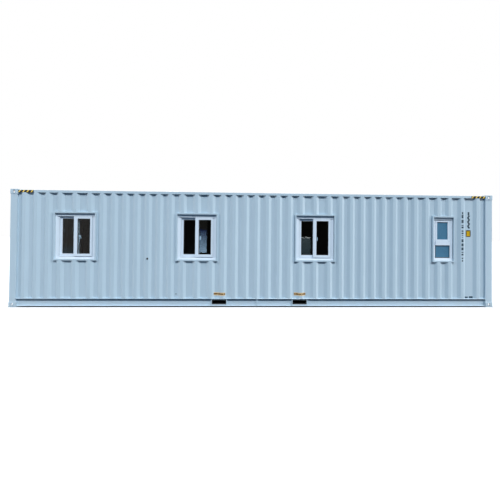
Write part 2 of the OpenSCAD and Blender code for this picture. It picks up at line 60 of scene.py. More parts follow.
edgeLook = {"segments": 2, "cornerSegments": 3, "merge": 0.00002,
            "sharp": 40, "smooth": 35}  # the last two in degrees
boltLook = {"sink": 0.001, "washer": 1.45, "washerHeight": 0.2, "washerSides": 16,
            "rim": 0.2, "crown": 0.12}  # all but sink and sides as shares of the bolt
upright = (math.radians(90), 0, 0)  # turns a flat primitive to face -Y
front = Vector((0, -1, 0))
doorEnd = Vector((-1, 0, 0))
facing = 0.9  # how closely a face or an edge follows a direction


def dropSelection():
    bpy.ops.object.select_all(action="DESELECT")


def applyPlace():
    bpy.ops.object.transform_apply(location=True, rotation=True, scale=True)


def pickOnly(piece):
    dropSelection()
    piece.select_set(True)
    bpy.context.view_layer.objects.active = piece


def pickAll(piece):
    # leaves the piece in edit mode with all of it selected
    pickOnly(piece)
    bpy.ops.object.mode_set(mode="EDIT")
    bpy.ops.mesh.select_mode(type="FACE")
    bpy.ops.mesh.select_all(action="SELECT")


def pickSome(piece, kind, test):
    # leaves the piece in edit mode with the faces or edges that pass the test selected
    pickOnly(piece)
    bpy.ops.object.mode_set(mode="EDIT")
    bpy.ops.mesh.select_mode(type=kind)
    bpy.ops.mesh.select_all(action="DESELECT")
    bpy.ops.object.mode_set(mode="OBJECT")
    for element in piece.data.polygons if kind == "FACE" else piece.data.edges:
        element.select = test(element)
    bpy.ops.object.mode_set(mode="EDIT")


def doneEditing():
    bpy.ops.object.mode_set(mode="OBJECT")


def named(name):
    piece = bpy.context.object
    piece.name = name
    piece.data.name = name
    return piece


def addBlock(name, low, high):
    low, high = Vector(low), Vector(high)
    dropSelection()
    bpy.ops.mesh.primitive_cube_add(size=1, location=(low + high) / 2)
    piece = named(name)
    piece.scale = high - low
    applyPlace()
    return piece


def addRod(name, start, end, radius, sides):
    start, end = Vector(start), Vector(end)
    way = end - start
    dropSelection()
    bpy.ops.mesh.primitive_cylinder_add(
        vertices=sides, radius=radius, depth=way.length, location=(start + end) / 2,
        rotation=way.to_track_quat("Z", "Y").to_euler())
    piece = named(name)
    applyPlace()
    return piece


def addSheet(name, middle, width, height):
    # a flat rectangle that faces -Y
    dropSelection()
    bpy.ops.mesh.primitive_plane_add(size=1, location=middle, rotation=upright)
    piece = named(name)
    piece.scale = (width, height, 1)
    applyPlace()
    return piece


def roundEdges(piece, width):
    pickOnly(piece)
    bevel = piece.modifiers.new("round", "BEVEL")
    bevel.width = width
    bevel.segments = edgeLook["segments"]
    bevel.limit_method = "ANGLE"
    bevel.angle_limit = math.radians(edgeLook["sharp"])
    bpy.ops.object.modifier_apply(modifier=bevel.name)


def turnOut(piece):
    # merges doubles and makes every face point outwards
    pickAll(piece)
    bpy.ops.mesh.remove_doubles(threshold=edgeLook["merge"])
    bpy.ops.mesh.normals_make_consistent(inside=False)
    doneEditing()


def openSheet(piece, width, depth):
    # keeps only a border of a flat sheet and draws it out along Y
    pickAll(piece)
    bpy.ops.mesh.inset(thickness=width)
    bpy.ops.mesh.delete(type="FACE")
    bpy.ops.mesh.select_all(action="SELECT")
    bpy.ops.mesh.extrude_region_move(TRANSFORM_OT_translate={"value": (0, depth, 0)})
    doneEditing()
    turnOut(piece)


def addRing(name, low, high, width, bevel):
    # a rectangular ring that faces -Y, between two corners
    low, high = Vector(low), Vector(high)
    middle = ((low.x + high.x) / 2, low.y, (low.z + high.z) / 2)
    piece = addSheet(name, middle, high.x - low.x, high.z - low.z)
    openSheet(piece, width, high.y - low.y)
    roundEdges(piece, bevel)
    return piece


def addPlate(name, low, high, corner):
    # a plate that faces -Y, with round corners
    piece = addBlock(name, low, high)

    def alongY(edge):
        start, end = [piece.data.vertices[i].co for i in edge.vertices]
        return abs((end - start).normalized().y) > facing

    pickSome(piece, "EDGE", alongY)
    bpy.ops.mesh.bevel(offset=corner, segments=edgeLook["cornerSegments"], affect="EDGES")
    doneEditing()
    return piece


def stepFace(piece, way, inset, rise):
    # insets the face that looks along way, then moves what is inside the inset along it
    pickSome(piece, "FACE", lambda face: face.normal.dot(way) > facing)
    bpy.ops.mesh.inset(thickness=inset)
    bpy.ops.transform.translate(value=way * rise)
    doneEditing()


def joinPieces(pieces, name):
    dropSelection()
    for piece in pieces:
        piece.select_set(True)
    bpy.context.view_layer.objects.active = pieces[0]
    bpy.ops.object.join()
    return named(name)


def addBolt(place, way, radius, height, sides=6):
    # a bolt head on its washer: place is on the surface, way points out of it
    place = Vector(place)
    washer = addRod("washer", place - way * boltLook["sink"],
                    place + way * height * boltLook["washerHeight"],
                    radius * boltLook["washer"], boltLook["washerSides"])
    head = addRod("head", place, place + way * height, radius, sides)
    stepFace(head, way, radius * boltLook["rim"], radius * boltLook["crown"])
    return joinPieces([washer, head], "bolt")


def mirrorPiece(piece, name):
    # a copy on the other side of the container's length
    copy = piece.copy()
    copy.data = piece.data.copy()
    bpy.context.collection.objects.link(copy)
    copy.name = name
    copy.data.name = name
    copy.data.transform(Matrix.Diagonal((1, -1, 1, 1)))
    turnOut(copy)
    return copy


def finishPiece(piece, material):
    piece.data.materials.clear()
    piece.data.materials.append(material)
    pickOnly(piece)
    applyPlace()
    bpy.ops.object.shade_smooth_by_angle(angle=math.radians(edgeLook["smooth"]))
    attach(piece, "root")


def finishPair(piece, name, material):
    # finishes a piece and its mirrored copy, which gets the name
    copy = mirrorPiece(piece, name)
    finishPiece(piece, material)
    finishPiece(copy, material)


def partOf(node, test):
    # the box of those vertices of a CAD node that pass the test
    spots = [v.co for v in nodes[node].data.vertices if test(v.co)]
    return (Vector([min(c[i] for c in spots) for i in range(3)]),
            Vector([max(c[i] for c in spots) for i in range(3)]))


def wallFace(x, z):
    # the Y of the front wall's outer face at this place
    outside = Vector((x, cadBox[0].y * 2, z))
    return nodes["front_wall"].ray_cast(outside, -front)[1].y


# Helpers for shader nodes

def wire(tree, source, target):
    tree.links.new(source, target)


def feed(tree, value, socket):
    # a socket takes a number, a colour or another node's output
    if isinstance(value, (int, float)):
        socket.default_value = value
    elif isinstance(value, tuple):
        socket.default_value = (*value, 1)[:len(socket.default_value)]
    else:
        wire(tree, value, socket)


def mathNode(tree, operation, first, second=None, clamp=False):
    node = tree.nodes.new("ShaderNodeMath")
    node.operation = operation
    node.use_clamp = clamp
    feed(tree, first, node.inputs[0])
    if second is not None:
        feed(tree, second, node.inputs[1])
    return node.outputs[0]


def objectPlace(tree):
    return tree.nodes.new("ShaderNodeTexCoord").outputs["Object"]


def axesOf(tree, vector):
    split = tree.nodes.new("ShaderNodeSeparateXYZ")
    wire(tree, vector, split.inputs[0])
    return split.outputs


def upFacing(tree):
    # 1 on faces that look up, 0 on upright ones
    return axesOf(tree, tree.nodes.new("ShaderNodeNewGeometry").outputs["Normal"])["Z"]


def noiseNode(tree, place, scale, detail, roughness, stretch=(1, 1, 1)):
    mapping = tree.nodes.new("ShaderNodeMapping")
    mapping.inputs["Scale"].default_value = stretch
    wire(tree, place, mapping.inputs["Vector"])
    noise = tree.nodes.new("ShaderNodeTexNoise")
    noise.inputs["Detail"].default_value = detail
    noise.inputs["Roughness"].default_value = roughness
    feed(tree, scale, noise.inputs["Scale"])
    wire(tree, mapping.outputs[0], noise.inputs["Vector"])
    return noise.outputs["Fac"]


def spread(tree, value, low, high):
    # 0 at low and below, 1 at high and above
    node = tree.nodes.new("ShaderNodeMapRange")
    node.inputs["From Min"].default_value = low
    node.inputs["From Max"].default_value = high
    wire(tree, value, node.inputs["Value"])
    return node.outputs["Result"]


def mixColor(tree, mask, first, second):
    node = tree.nodes.new("ShaderNodeMix")
    node.data_type = "RGBA"
    for number, value in ((0, mask), (6, first), (7, second)):  # factor, A and B of the colour mix
        feed(tree, value, node.inputs[number])
    return node.outputs[2]


def shaded(tree, color, shade):
    # a colour times a value
    node = tree.nodes.new("ShaderNodeVectorMath")
    node.operation = "SCALE"
    feed(tree, color, node.inputs[0])
    wire(tree, shade, node.inputs["Scale"])
    return node.outputs[0]


def bumpFrom(tree, shader, height, distance=1.0):
    bump = tree.nodes.new("ShaderNodeBump")
    bump.inputs["Strength"].default_value = 1.0
    bump.inputs["Distance"].default_value = distance
    wire(tree, height, bump.inputs["Height"])
    wire(tree, bump.outputs[0], shader.inputs["Normal"])


def startGroup(name, output, inputs):
    # a group of plain values: its input sockets, and the socket that takes its result
    group = bpy.data.node_groups.new(name, "ShaderNodeTree")
    for label, value in inputs.items():
        socket = group.interface.new_socket(label, in_out="INPUT", socket_type="NodeSocketFloat")
        socket.default_value = value
    group.interface.new_socket(output, in_out="OUTPUT", socket_type="NodeSocketFloat")
    ins = group.nodes.new("NodeGroupInput").outputs
    outs = group.nodes.new("NodeGroupOutput").inputs
    return group, ins, outs[output]


def placeGroup(tree, group, values):
    # puts a shared group into a material and returns its result
    node = tree.nodes.new("ShaderNodeGroup")
    node.node_tree = group
    for label, value in values.items():
        node.inputs[label].default_value = value
    return node.outputs[0]


# Shader groups that several finishes share

# patchy: cloudy changes of shade over metres and decimetres
patchy, ins, result = startGroup("patchy", "Shade", {"Scale": 1.0, "Amount": 0.05})
cloud = noiseNode(patchy, objectPlace(patchy), ins["Scale"], detail=4, roughness=0.6)
swing = mathNode(patchy, "MULTIPLY", mathNode(patchy, "SUBTRACT", cloud, 0.5), 2.0)
swing = mathNode(patchy, "MULTIPLY", swing, ins["Amount"])
wire(patchy, mathNode(patchy, "ADD", swing, 1.0), result)

# runs: thin marks that water leaves down a wall, faint in some places and absent in others
runShape = {"stretch": (1, 1, 0.03), "line": (0.52, 0.75), "spacing": 0.9, "where": (0.45, 0.65)}
runs, ins, result = startGroup("runs", "Mask", {"Width": 25.0, "Amount": 0.3})
place = objectPlace(runs)
lines = noiseNode(runs, place, ins["Width"], detail=3, roughness=0.6, stretch=runShape["stretch"])
lines = spread(runs, lines, *runShape["line"])
where = noiseNode(runs, place, runShape["spacing"], detail=2, roughness=0.5)
where = spread(runs, where, *runShape["where"])
lines = mathNode(runs, "MULTIPLY", lines, where)
wire(runs, mathNode(runs, "MULTIPLY", lines, ins["Amount"], clamp=True), result)

# footDust: dust that splashes up from the ground and settles on faces that look up
dustShape = {"fade": 2.0, "ledge": (0.6, 0.95), "grain": 7.0, "speck": (0.3, 0.7)}
footDust, ins, result = startGroup("footDust", "Mask",
                                   {"Height": 0.5, "Amount": 0.4, "On Top": 0.3})
place = objectPlace(footDust)
fall = mathNode(footDust, "DIVIDE", axesOf(footDust, place)["Z"], ins["Height"])
fall = mathNode(footDust, "SUBTRACT", 1.0, fall, clamp=True)
fall = mathNode(footDust, "POWER", fall, dustShape["fade"])
fall = mathNode(footDust, "MULTIPLY", fall, ins["Amount"])
ledge = spread(footDust, upFacing(footDust), *dustShape["ledge"])
ledge = mathNode(footDust, "MULTIPLY", ledge, ins["On Top"])
speck = noiseNode(footDust, place, dustShape["grain"], detail=6, roughness=0.65)
speck = spread(footDust, speck, *dustShape["speck"])
dusty = mathNode(footDust, "MAXIMUM", fall, ledge)
wire(footDust, mathNode(footDust, "MULTIPLY", dusty, speck, clamp=True), result)

# paintSkin: the fine unevenness of sprayed paint, with a slight hollow here and there
skinShape = {"peel": 420, "peelDepth": 0.001, "dent": 2.6, "dentDepth": 0.004}
paintSkin, ins, result = startGroup("paintSkin", "Height", {"Peel": 0.3, "Dents": 0.6})
place = objectPlace(paintSkin)
peel = noiseNode(paintSkin, place, skinShape["peel"], detail=2, roughness=0.5)
peelDepth = mathNode(paintSkin, "MULTIPLY", ins["Peel"], skinShape["peelDepth"])
dent = noiseNode(paintSkin, place, skinShape["dent"], detail=2, roughness=0.4)
dentDepth = mathNode(paintSkin, "MULTIPLY", ins["Dents"], skinShape["dentDepth"])
peel = mathNode(paintSkin, "MULTIPLY", peel, peelDepth)
dent = mathNode(paintSkin, "MULTIPLY", dent, dentDepth)
wire(paintSkin, mathNode(paintSkin, "ADD", peel, dent), result)


# Finishes: a look has a colour, a roughness, the values of its shared groups, and under
# "sockets" what else the shader needs

def startMaterial(name, look):
    material = bpy.data.materials.new(name)
    material.use_nodes = True
    tree = material.node_tree
    shader = tree.nodes["Principled BSDF"]
    shader.inputs["Base Color"].default_value = (*look["color"], 1)
    shader.inputs["Roughness"].default_value = look["roughness"]
    for label, value in look.get("sockets", {}).items():
        shader.inputs[label].default_value = value
    return material, tree, shader


def cloudOver(tree, color, patch):
    return shaded(tree, color, placeGroup(tree, patchy, patch))


def skinOver(tree, shader, skin):
    bumpFrom(tree, shader, placeGroup(tree, paintSkin, skin))


def plainFinish(name, look):
    # one colour under a cloudy shade, with fine bumps where the look has a skin
    material, tree, shader = startMaterial(name, look)
    wire(tree, cloudOver(tree, look["color"], look["patch"]), shader.inputs["Base Color"])
    if "skin" in look:
        skinOver(tree, shader, look["skin"])
    return material


# Painted steel
hullLook = {"color": (0.418, 0.552, 0.655), "roughness": 0.34,
            "patch": {"Scale": 1.1, "Amount": 0.035}, "skin": {"Peel": 0.25, "Dents": 0.5},
            "runs": {"Width": 22.0, "Amount": 0.2}, "runColor": (0.27, 0.36, 0.45),
            "dust": {"Height": 0.4, "Amount": 0.3, "On Top": 0.22},
            "dustColor": (0.42, 0.41, 0.38), "dustMatt": 0.4}
hullPaint, tree, shader = startMaterial("hullPaint", hullLook)
dust = placeGroup(tree, footDust, hullLook["dust"])
tone = cloudOver(tree, hullLook["color"], hullLook["patch"])
tone = mixColor(tree, placeGroup(tree, runs, hullLook["runs"]), tone, hullLook["runColor"])
wire(tree, mixColor(tree, dust, tone, hullLook["dustColor"]), shader.inputs["Base Color"])
matt = mathNode(tree, "MULTIPLY", dust, hullLook["dustMatt"])
wire(tree, mathNode(tree, "ADD", matt, hullLook["roughness"]), shader.inputs["Roughness"])
skinOver(tree, shader, hullLook["skin"])

underLook = {"color": (0.02, 0.022, 0.025), "roughness": 0.75,
             "patch": {"Scale": 3.0, "Amount": 0.25}, "skin": {"Peel": 1.5, "Dents": 0.2}}
underPaint = plainFinish("underPaint", underLook)

# White window plastic, with painted shade: faces that slope up get a darker colour
pvcLook = {"color": (0.62, 0.735, 0.85), "roughness": 0.3,
           "sill": (0.53, 0.62, 0.71), "slope": (0.1, 0.25),
           "patch": {"Scale": 5.0, "Amount": 0.02}, "skin": {"Peel": 0.05, "Dents": 0.1},
           "dust": {"Height": 0.1, "Amount": 0.0, "On Top": 0.3}, "dustColor": (0.42, 0.44, 0.46)}
whitePvc, tree, shader = startMaterial("whitePvc", pvcLook)
# painted shade: faces that look up take the darker colour
slope = spread(tree, upFacing(tree), *pvcLook["slope"])
tone = mixColor(tree, slope, pvcLook["color"], pvcLook["sill"])
tone = cloudOver(tree, tone, pvcLook["patch"])
tone = mixColor(tree, placeGroup(tree, footDust, pvcLook["dust"]), tone, pvcLook["dustColor"])
wire(tree, tone, shader.inputs["Base Color"])
skinOver(tree, shader, pvcLook["skin"])

# Clear panes: light passes them on its way into the room
glassLook = {"color": (0.55, 0.62, 0.66), "roughness": 0.01, "pass": (0.4, 0.45, 0.47),
             "patch": {"Scale": 2.0, "Amount": 0.12},
             "sockets": {"Transmission Weight": 1.0, "IOR": 1.42}}
clearGlass, tree, shader = startMaterial("clearGlass", glassLook)
wire(tree, cloudOver(tree, glassLook["color"], glassLook["patch"]), shader.inputs["Base Color"])
through = tree.nodes.new("ShaderNodeBsdfTransparent")
through.inputs["Color"].default_value = (*glassLook["pass"], 1)
path = tree.nodes.new("ShaderNodeLightPath")
either = tree.nodes.new("ShaderNodeMixShader")
wire(tree, path.outputs["Is Shadow Ray"], either.inputs[0])
wire(tree, shader.outputs[0], either.inputs[1])
wire(tree, through.outputs[0], either.inputs[2])
wire(tree, either.outputs[0], tree.nodes["Material Output"].inputs["Surface"])

frostLook = {"color": (0.06, 0.22, 0.375), "roughness": 0.35, "grain": 90, "depth": 0.003,
             "patch": {"Scale": 3.0, "Amount": 0.1},
             "sockets": {"Transmission Weight": 0.3, "IOR": 1.4}}
frostedGlass, tree, shader = startMaterial("frostedGlass", frostLook)
grain = noiseNode(tree, objectPlace(tree), frostLook["grain"], detail=3, roughness=0.6)
bumpFrom(tree, shader, grain, frostLook["depth"])
wire(tree, cloudOver(tree, frostLook["color"], frostLook["patch"]), shader.inputs["Base Color"])

# Room: the lining gets a near-black colour as painted shade, so the room behind the panes reads
# dark
shadedLiningLook = {"color": (0.06, 0.054, 0.042), "roughness": 0.6,
              "patch": {"Scale": 1.5, "Amount": 0.06}}
liningBoard = plainFinish("liningBoard", shadedLiningLook)

plankLook = {"color": (0.08, 0.054, 0.032), "roughness": 0.55, "dark": (0.04, 0.024, 0.014),
             "joint": (0.01, 0.007, 0.005), "width": 0.15, "jointShare": 0.012,
             "grain": 14, "stretch": (0.12, 1, 1), "contrast": (0.35, 0.65)}
floorWood, tree, shader = startMaterial("floorWood", plankLook)
place = objectPlace(tree)
grain = noiseNode(tree, place, plankLook["grain"], detail=6, roughness=0.6,
                  stretch=plankLook["stretch"])
grain = spread(tree, grain, *plankLook["contrast"])
across = mathNode(tree, "DIVIDE", axesOf(tree, place)["Y"], plankLook["width"])
offMiddle = mathNode(tree, "SUBTRACT", mathNode(tree, "FRACT", across), 0.5)
joint = mathNode(tree, "LESS_THAN", mathNode(tree, "ABSOLUTE", offMiddle), plankLook["jointShare"])
tone = mixColor(tree, grain, plankLook["dark"], plankLook["color"])
wire(tree, mixColor(tree, joint, tone, plankLook["joint"]), shader.inputs["Base Color"])

# Bare metal
zincLook = {"color": (0.5, 0.52, 0.54), "roughness": 0.42, "flakes": 60, "matt": (-1.0, 2.2),
            "dark": (0.42, 0.44, 0.46), "light": (0.58, 0.6, 0.62), "sockets": {"Metallic": 0.9}}
zincSteel, tree, shader = startMaterial("zincSteel", zincLook)
flakes = tree.nodes.new("ShaderNodeTexVoronoi")
flakes.inputs["Scale"].default_value = zincLook["flakes"]
wire(tree, objectPlace(tree), flakes.inputs["Vector"])
flake = flakes.outputs["Distance"]
wire(tree, mixColor(tree, flake, zincLook["dark"], zincLook["light"]), shader.inputs["Base Color"])
wire(tree, spread(tree, flake, *zincLook["matt"]), shader.inputs["Roughness"])

# Black rubber of the seals, and pale sealant
rubberLook = {"color": (0.012, 0.013, 0.016), "roughness": 0.6,
              "patch": {"Scale": 12.0, "Amount": 0.3}, "skin": {"Peel": 0.8, "Dents": 0.1}}
blackRubber = plainFinish("blackRubber", rubberLook)
sealantLook = {"color": (0.5, 0.58, 0.64), "roughness": 0.6,
               "patch": {"Scale": 20.0, "Amount": 0.12}}
sealWhite = plainFinish("sealWhite", sealantLook)

# Slanting yellow and black bars
hazardLook = {"color": (0.8, 0.56, 0.09), "roughness": 0.5, "black": (0.003, 0.003, 0.004),
              "pitch": 0.0988, "lean": 0.7, "shift": 0.0138, "share": 0.66,
              "patch": {"Scale": 9.0, "Amount": 0.15}, "skin": {"Peel": 0.2, "Dents": 0.1},
              "sockets": {"Specular IOR Level": 0.2}}
hazardPaint, tree, shader = startMaterial("hazardPaint", hazardLook)
axes = axesOf(tree, objectPlace(tree))
lean = mathNode(tree, "MULTIPLY", axes["Z"], hazardLook["lean"])
slant = mathNode(tree, "SUBTRACT", axes["X"], lean)
slant = mathNode(tree, "SUBTRACT", slant, hazardLook["shift"])
bar = mathNode(tree, "FRACT", mathNode(tree, "DIVIDE", slant, hazardLook["pitch"]))
bar = mathNode(tree, "GREATER_THAN", bar, 1 - hazardLook["share"])
tone = mixColor(tree, bar, hazardLook["color"], hazardLook["black"])
wire(tree, cloudOver(tree, tone, hazardLook["patch"]), shader.inputs["Base Color"])
skinOver(tree, shader, hazardLook["skin"])

# Pale labels with a row of brown blots
labelLook = {"color": (0.66, 0.5, 0.26), "roughness": 0.45, "blot": (0.1, 0.04, 0.008),
             "row": (0.302, 0.338), "grain": 34, "stretch": (1, 0, 0.5),
             "contrast": (0.32, 0.44), "matt": (-2.0, 3.0)}
labelFilm, tree, shader = startMaterial("labelFilm", labelLook)
place = objectPlace(tree)
height = axesOf(tree, place)["Z"]
row = mathNode(tree, "MULTIPLY", mathNode(tree, "GREATER_THAN", height, labelLook["row"][0]),
               mathNode(tree, "LESS_THAN", height, labelLook["row"][1]))
blots = noiseNode(tree, place, labelLook["grain"], detail=2, roughness=0.5,
                  stretch=labelLook["stretch"])
blots = spread(tree, blots, *labelLook["contrast"])
cover = mathNode(tree, "MULTIPLY", row, blots)
tone = mixColor(tree, cover, labelLook["color"], labelLook["blot"])
wire(tree, tone, shader.inputs["Base Color"])
wire(tree, spread(tree, blots, *labelLook["matt"]), shader.inputs["Roughness"])

# Dark marks
markPaint = {"color": (0.01, 0.04, 0.07), "roughness": 0.45,
             "patch": {"Scale": 14.0, "Amount": 0.3}}
navyMark = plainFinish("navyMark", markPaint)

# Yellow plate with a dark border and blotted rows; low and high are its corners in X and Z
plateLook = {"low": (5.424, 1.811), "high": (5.554, 1.987), "color": (0.62, 0.38, 0.003),
             "roughness": 0.5, "dark": (0.045, 0.055, 0.035), "border": 0.022,
             "row": 0.032, "rowShare": 0.45, "grain": 48, "stretch": (1, 0, 0.6),
             "contrast": (0.46, 0.54), "blot": 0.6, "patch": {"Scale": 25.0, "Amount": 0.2},
             "skin": {"Peel": 0.6, "Dents": 0.1}, "sockets": {"Specular IOR Level": 0.15}}
platePaint, tree, shader = startMaterial("platePaint", plateLook)
place = objectPlace(tree)
axes = axesOf(tree, place)
edges = []
for axis, low, high in zip("XZ", plateLook["low"], plateLook["high"]):
    offMiddle = mathNode(tree, "SUBTRACT", axes[axis], (low + high) / 2)
    inner = (high - low) / 2 - plateLook["border"]
    edges.append(mathNode(tree, "GREATER_THAN", mathNode(tree, "ABSOLUTE", offMiddle), inner))
row = mathNode(tree, "FRACT", mathNode(tree, "DIVIDE", axes["Z"], plateLook["row"]))
row = mathNode(tree, "LESS_THAN", row, plateLook["rowShare"])
blots = noiseNode(tree, place, plateLook["grain"], detail=2, roughness=0.5,
                  stretch=plateLook["stretch"])
blots = mathNode(tree, "MULTIPLY", row, spread(tree, blots, *plateLook["contrast"]))
blots = mathNode(tree, "MULTIPLY", blots, plateLook["blot"])
cover = mathNode(tree, "MAXIMUM", mathNode(tree, "MAXIMUM", *edges), blots)
tone = mixColor(tree, cover, plateLook["color"], plateLook["dark"])
wire(tree, cloudOver(tree, tone, plateLook["patch"]), shader.inputs["Base Color"])
skinOver(tree, shader, plateLook["skin"])

finishes = {"hull_paint": hullPaint, "underframe_paint": underPaint, "floor_wood": floorWood,
            "lining": liningBoard, "white_pvc": whitePvc, "clear_glass": clearGlass,
            "frosted_glass": frostedGlass, "zinc_steel": zincSteel}
for part in frame["record"]["subparts"]:
    for slot in nodes[part["node"]].material_slots:
        slot.material = finishes[part["material_slot"]]
print("finishes on the frame")


# Steelwork

railLow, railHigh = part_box("top_rail_front")
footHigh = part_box("bottom_rail_front")[1]
wallLow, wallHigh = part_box("front_wall")
castLow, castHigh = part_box("corner_castings")

# Yellow and black strips at both ends of the top side rails
stripLook = {"length": 0.375, "thickness": 0.0012, "corner": 0.004, "gap": 0.0015}
gap = stripLook["gap"]
for side, x0 in (("left", railLow.x + gap), ("right", railHigh.x - stripLook["length"] - gap)):
    strip = addPlate("hazard_strip_front_" + side,
                     (x0, railLow.y - stripLook["thickness"], railLow.z + gap),
                     (x0 + stripLook["length"], railLow.y, railHigh.z - gap), stripLook["corner"])
    finishPair(strip, "hazard_strip_back_" + side, hazardPaint)

# Weld beads along the foot and the top of both walls; in and up place a bead's middle
weldLook = {"sides": 8, "post": 0.004, "rail": 0.003, "wallIn": 0.002,
            "foot": {"radius": 0.0055, "sides": 10, "in": 0.001, "up": 0.0015},
            "roof": {"in": 0.006, "up": 0.001}}
foot, roof = weldLook["foot"], weldLook["roof"]
y, z = wallLow.y + foot["in"], footHigh.z + foot["up"]
footSeam = addRod("foot_seam_front", (wallLow.x, y, z), (wallHigh.x, y, z),
                  foot["radius"], foot["sides"])
finishPair(footSeam, "foot_seam_back", hullPaint)
y, z = railLow.y + roof["in"], railHigh.z + roof["up"]
roofSeam = addRod("roof_seam_front", (railLow.x, y, z), (railHigh.x, y, z),
                  weldLook["rail"], weldLook["sides"])
finishPair(roofSeam, "roof_seam_back", hullPaint)

# Beads round the ends of the posts, at both ends of the wall and at the ends of the rail
doorPost = partOf("door_end_posts", lambda c: c.y < 0)
endPost = partOf("closed_end_posts", lambda c: c.y < 0)
lines = []
for low, high, endX in ((*doorPost, doorPost[0].x), (*endPost, endPost[1].x)):
    for z in (low.z, high.z):
        lines.append(((low.x, low.y, z), (high.x, low.y, z), weldLook["post"]))
        lines.append(((endX, low.y, z), (endX, high.y, z), weldLook["post"]))
y = wallLow.y + weldLook["wallIn"]
for x in (wallLow.x, wallHigh.x):
    lines.append(((x, y, wallLow.z), (x, y, wallHigh.z), weldLook["rail"]))
for x in (railLow.x, railHigh.x):
    lines.append(((x, railLow.y, railLow.z), (x, railLow.y, railHigh.z), weldLook["rail"]))
beads = [addRod("bead", *line, weldLook["sides"]) for line in lines]
finishPair(joinPieces(beads, "frame_welds_front"), "frame_welds_back", hullPaint)

# Raised lips round the side holes of the castings
lipLook = {"width": 0.007, "height": 0.0022, "wide": 0.051, "tall": 0.0795, "out": 0.0002,
           "fromEnd": 0.089, "fromTop": 0.059, "round": 0.97, "segments": 8}
wide = lipLook["wide"] + 2 * lipLook["width"]
tall = lipLook["tall"] + 2 * lipLook["width"]
lips = []
for x in (castLow.x + lipLook["fromEnd"], castHigh.x - lipLook["fromEnd"]):
    for z in (castLow.z + lipLook["fromTop"], castHigh.z - lipLook["fromTop"]):
        lip = addSheet("lip", (x, castLow.y - lipLook["out"], z), wide, tall)
        pickAll(lip)
        bpy.ops.mesh.bevel(offset=wide / 2 * lipLook["round"], segments=lipLook["segments"],
                           affect="VERTICES")
        doneEditing()
        openSheet(lip, lipLook["width"], -lipLook["height"])
        lips.append(lip)
finishPair(joinPieces(lips, "casting_lips_front"), "casting_lips_back", hullPaint)
print("steelwork done")


# Marks on the front wall: labels over the fork pockets, plain strokes, a plate and two plugs

# Films that follow the corrugation: the reach of each in X, then what they share
labelShape = {"pocket_label_left": (-1.106, -0.816), "pocket_label_right": (0.924, 1.224),
              "low": 0.283, "high": 0.358, "thickness": 0.0008, "out": 0.0012,
              "columns": 64, "start": -1.4}


def addLabel(name):
    (x0, x1), z0, z1 = labelShape[name], labelShape["low"], labelShape["high"]
    dropSelection()
    bpy.ops.mesh.primitive_grid_add(
        x_subdivisions=labelShape["columns"], y_subdivisions=2, size=1,
        location=((x0 + x1) / 2, labelShape["start"], (z0 + z1) / 2), rotation=upright)
    piece = named(name)
    piece.scale = (x1 - x0, z1 - z0, 1)
    applyPlace()
    wrap = piece.modifiers.new("wrap", "SHRINKWRAP")
    wrap.target = nodes["front_wall"]
    wrap.wrap_method = "PROJECT"
    wrap.use_project_y = True
    wrap.use_negative_direction = False
    wrap.use_positive_direction = True
    bpy.ops.object.modifier_apply(modifier=wrap.name)
    piece.data.transform(Matrix.Translation(front * labelShape["out"]))
    thick = piece.modifiers.new("thick", "SOLIDIFY")
    thick.thickness = labelShape["thickness"]
    bpy.ops.object.modifier_apply(modifier=thick.name)
    finishPiece(piece, labelFilm)


addLabel("pocket_label_left")
addLabel("pocket_label_right")

# Strokes: the height of the middle, length and width of each. The slanting ones lean in
# turn, and those at the foot have their reach in X and then in Z.
markLook = {"thickness": 0.0006, "corner": 0.005, "cornerShare": 0.3,
            "long": 5.305, "short": 5.498,
            "strokes": [(2.427, 0.059, 0.034), (2.34, 0.092, 0.048), (2.212, 0.086, 0.055),
                        (2.108, 0.024, 0.053), (2.056, 0.045, 0.055), (1.962, 0.037, 0.051),
                        (1.903, 0.037, 0.051), (1.85, 0.017, 0.039), (1.8, 0.017, 0.034),
                        (1.712, 0.078, 0.053), (1.604, 0.076, 0.055), (1.502, 0.071, 0.055),
                        (1.41, 0.022, 0.055), (1.352, 0.043, 0.053), (1.256, 0.032, 0.037),
                        (1.19, 0.043, 0.034)],
            "first": (2.415, 0.09, 0.046),
            "slant": {"top": 2.337, "step": 0.055, "count": 6, "length": 0.076, "width": 0.042,
                      "lean": 38},
            "foot": [(5.382, 5.48, 0.216, 0.26), (5.51, 5.652, 0.216, 0.268)]}


def addStroke(x, z, length, width, lean=0):
    y = wallFace(x, z)
    share = markLook["cornerShare"]
    corner = min(markLook["corner"], width * share, length * share)
    stroke = addPlate("stroke", (x - width / 2, y - markLook["thickness"], z - length / 2),
                      (x + width / 2, y, z + length / 2), corner)
    if lean:
        middle = Matrix.Translation((x, y, z))
        turn = Matrix.Rotation(math.radians(lean), 4, "Y")
        stroke.data.transform(middle @ turn @ middle.inverted())
    return stroke


strokes = [addStroke(markLook["long"], *stroke) for stroke in markLook["strokes"]]
finishPiece(joinPieces(strokes, "marks_long"), navyMark)
slant = markLook["slant"]
strokes = [addStroke(markLook["short"], *markLook["first"])]
for i in range(slant["count"]):
    strokes.append(addStroke(markLook["short"], slant["top"] - i * slant["step"],
                             slant["length"], slant["width"], slant["lean"] * (-1) ** i))
finishPiece(joinPieces(strokes, "marks_short"), navyMark)
strokes = [addStroke((x0 + x1) / 2, (z0 + z1) / 2, z1 - z0, x1 - x0)
           for x0, x1, z0, z1 in markLook["foot"]]
finishPiece(joinPieces(strokes, "marks_foot"), navyMark)

